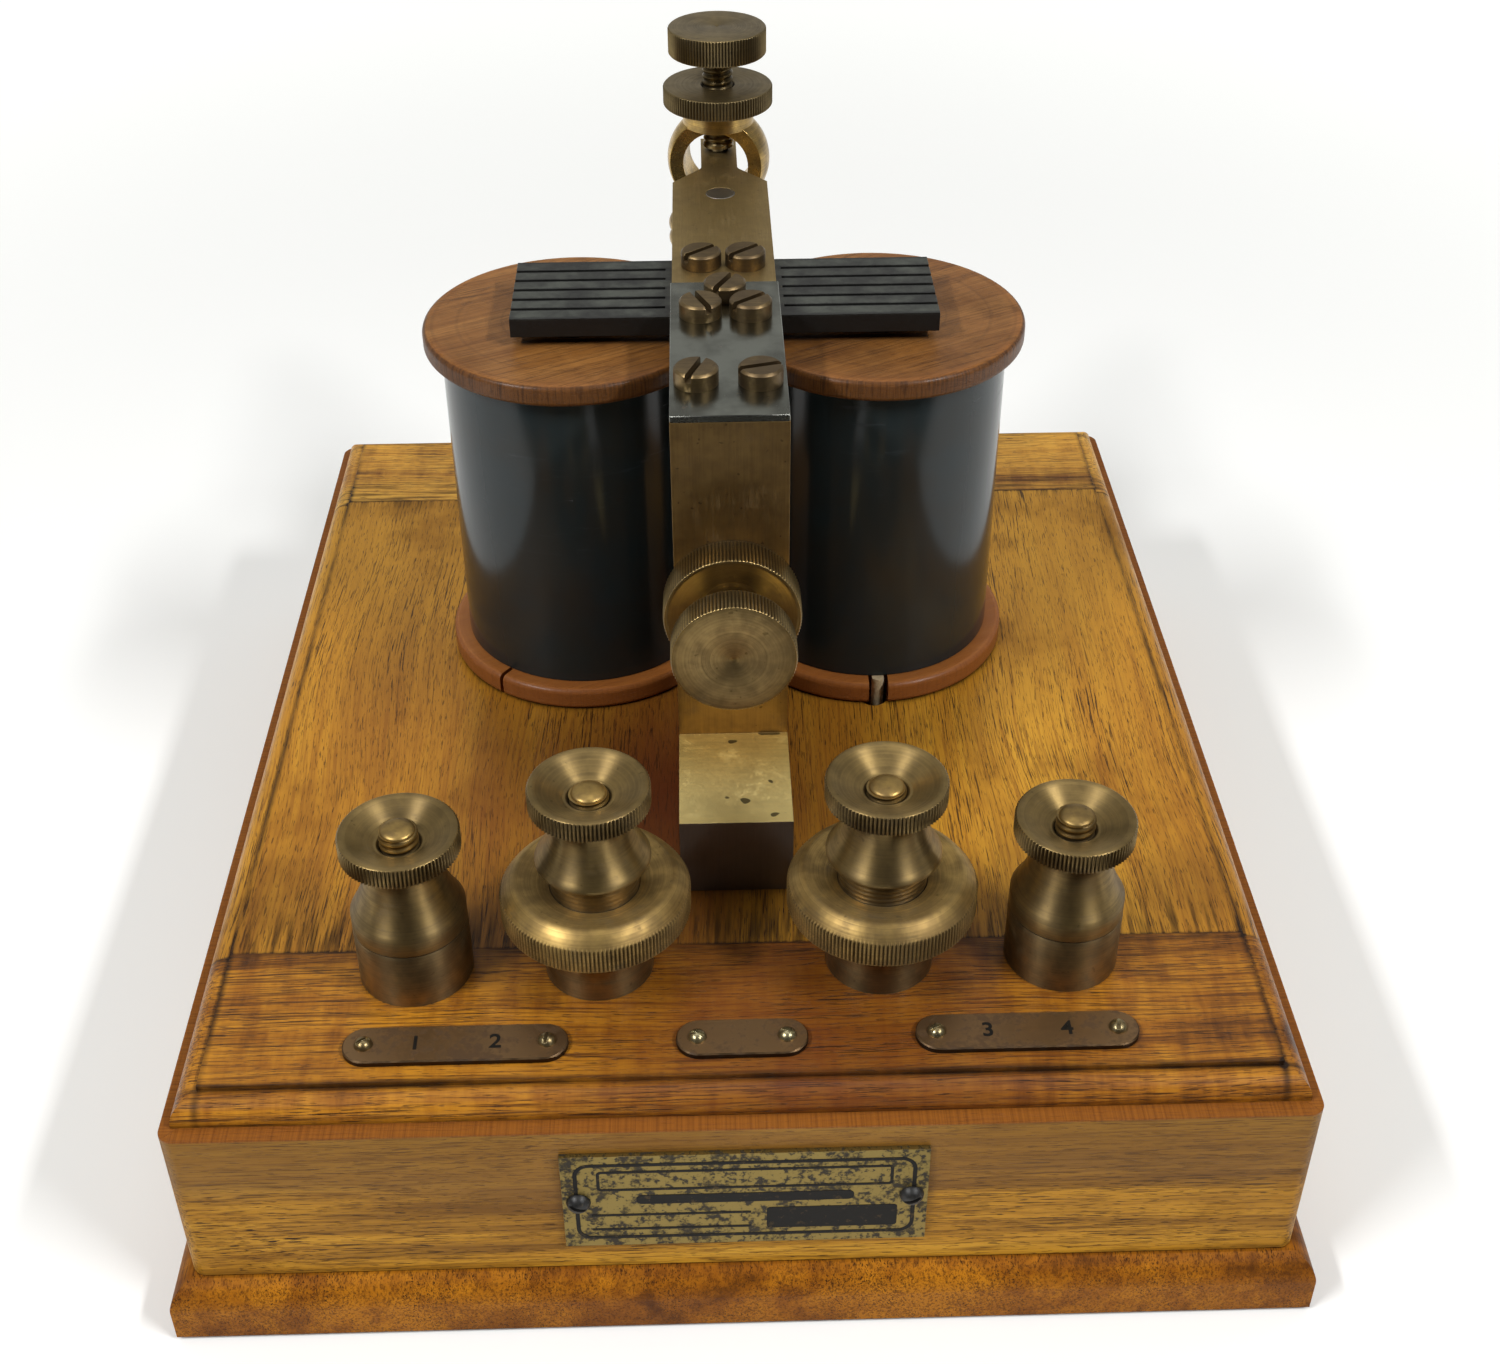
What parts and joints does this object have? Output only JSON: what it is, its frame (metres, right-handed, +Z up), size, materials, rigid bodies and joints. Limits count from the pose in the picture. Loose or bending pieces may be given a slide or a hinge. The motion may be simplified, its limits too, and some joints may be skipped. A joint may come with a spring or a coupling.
{
  "type": "keying relay",
  "caption": "Electromagnetic keying relay on a wooden box base: upright coils, slotted armature on a spring-hung brass lever, eye pillar with stop screw, binding posts.",
  "frame": {"origin": "on the bench plane, under the middle of the base board", "axes": "+X to the right, +Y to the back (towards the eye pillar), +Z up"},
  "size_m": [0.185, 0.217, 0.15],
  "materials": {
    "lid_wood": "worn satin varnish",
    "box_wood": "worn satin varnish",
    "board_wood": "worn satin varnish",
    "bobbin_wood": "polished",
    "copper_wire": "enamelled",
    "coil_cover": "glossy lacquer",
    "soft_iron": "plain",
    "japanned_iron": "worn black",
    "steel": "plain",
    "spring_steel": "polished",
    "cloth": "woven",
    "silver": "dull",
    "plate_brass": "tarnished",
    "name_brass": "tarnished, black-filled",
    "brass": "aged, turned"
  },
  "bodies": {
    "base": {"base_board": "board_wood", "front_wall": "box_wood", "rear_wall": "box_wood", "left_wall": "box_wood", "right_wall": "box_wood", "base_screws": "steel", "lid_panel": "lid_wood", "front_cleat": "lid_wood", "rear_cleat": "lid_wood", "left_bobbin": "bobbin_wood", "right_bobbin": "bobbin_wood", "left_winding": "copper_wire", "right_winding": "copper_wire", "left_cover": "coil_cover", "right_cover": "coil_cover", "left_core": "soft_iron", "right_core": "soft_iron", "yoke": "soft_iron", "core_screws": "steel", "coil_lead": "cloth", "wiring": "copper_wire", "bracket": "brass", "bracket_screws": "steel", "hinge_spring": "spring_steel", "clamp_screws": "brass", "contact_pillar": "brass", "anvil_post": "brass", "anvil_contact": "silver", "outer_barrels": "brass", "inner_barrels": "brass", "post_studs": "brass", "under_washers": "brass", "under_nuts": "brass", "label_plates": "plate_brass", "label_screws": "plate_brass", "nameplate": "name_brass", "nameplate_screws": "japanned_iron"},
    "lever": {"lever": "brass", "lever_screws": "brass", "armature": "japanned_iron", "armature_screws": "brass", "lever_contact": "silver", "tension_leaf": "spring_steel"},
    "stop_rod": {"stop_screw": "brass", "stop_tip": "silver"},
    "stop_knob": {"stop_knob": "brass"},
    "stop_lock": {"stop_lock_nut": "brass"},
    "tension_rod": {"tension_screw": "brass"},
    "tension_knob": {"tension_knob": "brass"},
    "tension_lock": {"tension_lock_nut": "brass"},
    "left_outer_nut": {"left_outer_nut": "brass"},
    "left_inner_nut": {"left_inner_nut": "brass"},
    "right_inner_nut": {"right_inner_nut": "brass"},
    "right_outer_nut": {"right_outer_nut": "brass"},
    "left_ring_nut": {"left_ring_nut": "brass"},
    "right_ring_nut": {"right_ring_nut": "brass"}
  },
  "joints": [
    {"name": "lever_rock", "type": "hinge", "parent": "base", "child": "lever", "pos_m": [0, -0.0068, 0.1261], "axis": [-1, 0, 0], "range_deg": [0, 0.85], "stiffness_Nm_per_rad": 2, "springref_deg": -2.86, "deforming": ["hinge_spring", "tension_leaf"]},
    {"name": "stop_travel", "type": "slide", "parent": "base", "child": "stop_rod", "axis": [0, 0, 1], "range_m": [0, 0.00254]},
    {"name": "stop_turn", "type": "hinge", "parent": "stop_rod", "child": "stop_knob", "pos_m": [0, 0.082, 0.1475], "axis": [0, 0, 1], "range_deg": [0, 720]},
    {"name": "stop_lock_travel", "type": "slide", "parent": "base", "child": "stop_lock", "axis": [0, 0, 1], "range_m": [0, 0.004]},
    {"name": "tension_travel", "type": "slide", "parent": "base", "child": "tension_rod", "axis": [0, -1, 0], "range_m": [0, 0.00254]},
    {"name": "tension_turn", "type": "hinge", "parent": "tension_rod", "child": "tension_knob", "pos_m": [0, -0.0483, 0.0925], "axis": [0, -1, 0], "range_deg": [0, 720]},
    {"name": "tension_lock_travel", "type": "slide", "parent": "base", "child": "tension_lock", "axis": [0, -1, 0], "range_m": [0, 0.004]},
    {"name": "left_outer_lift", "type": "slide", "parent": "base", "child": "left_outer_nut", "axis": [0, 0, 1], "range_m": [0, 0.006]},
    {"name": "left_inner_lift", "type": "slide", "parent": "base", "child": "left_inner_nut", "axis": [0, 0, 1], "range_m": [0, 0.006]},
    {"name": "right_inner_lift", "type": "slide", "parent": "base", "child": "right_inner_nut", "axis": [0, 0, 1], "range_m": [0, 0.006]},
    {"name": "right_outer_lift", "type": "slide", "parent": "base", "child": "right_outer_nut", "axis": [0, 0, 1], "range_m": [0, 0.006]},
    {"name": "left_ring_lift", "type": "slide", "parent": "base", "child": "left_ring_nut", "axis": [0, 0, 1], "range_m": [0, 0.003]},
    {"name": "right_ring_lift", "type": "slide", "parent": "base", "child": "right_ring_nut", "axis": [0, 0, 1], "range_m": [0, 0.003]}
  ],
  "couplings": [
    {"joint": "stop_turn", "follows": "stop_travel", "rad_per_m": 4947.4},
    {"joint": "tension_turn", "follows": "tension_travel", "rad_per_m": 4947.4}
  ]
}
